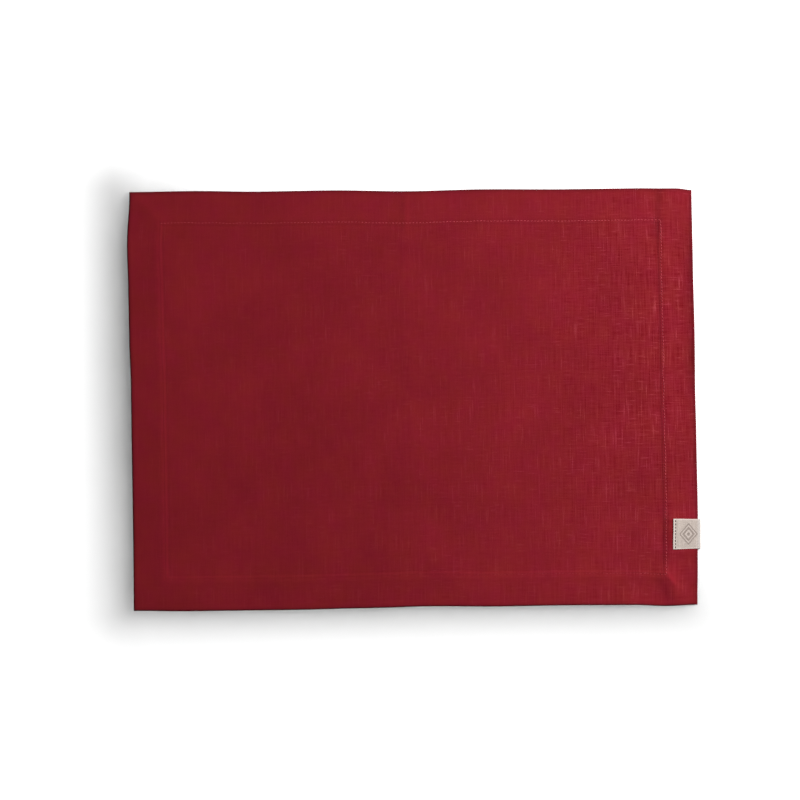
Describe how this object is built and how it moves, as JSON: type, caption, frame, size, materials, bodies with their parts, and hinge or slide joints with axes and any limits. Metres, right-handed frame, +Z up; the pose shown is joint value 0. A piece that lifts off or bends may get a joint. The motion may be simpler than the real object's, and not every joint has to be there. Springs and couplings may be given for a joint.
{
  "type": "placemat",
  "caption": "Flat rectangular table mat in deep red linen, with a wide mitred hem sewn all round and a small plain tape label folded over its right-hand edge.",
  "frame": {"origin": "middle of the mat's underside, on the surface that it lies on, between the straight lines that its four edges follow", "axes": "+X along the long sides, towards the edge that carries the label; +Y along the short sides, away from the label's corner; +Z up out of the surface"},
  "size_m": [0.5049, 0.3725, 0.0043],
  "materials": {
    "red_linen": "matte plain-woven linen with slubs and a soft sheen",
    "natural_tape": "matte closely woven tape in undyed linen colour"
  },
  "bodies": {
    "root": {"cloth": "red_linen", "label": "natural_tape"}
  },
  "joints": []
}
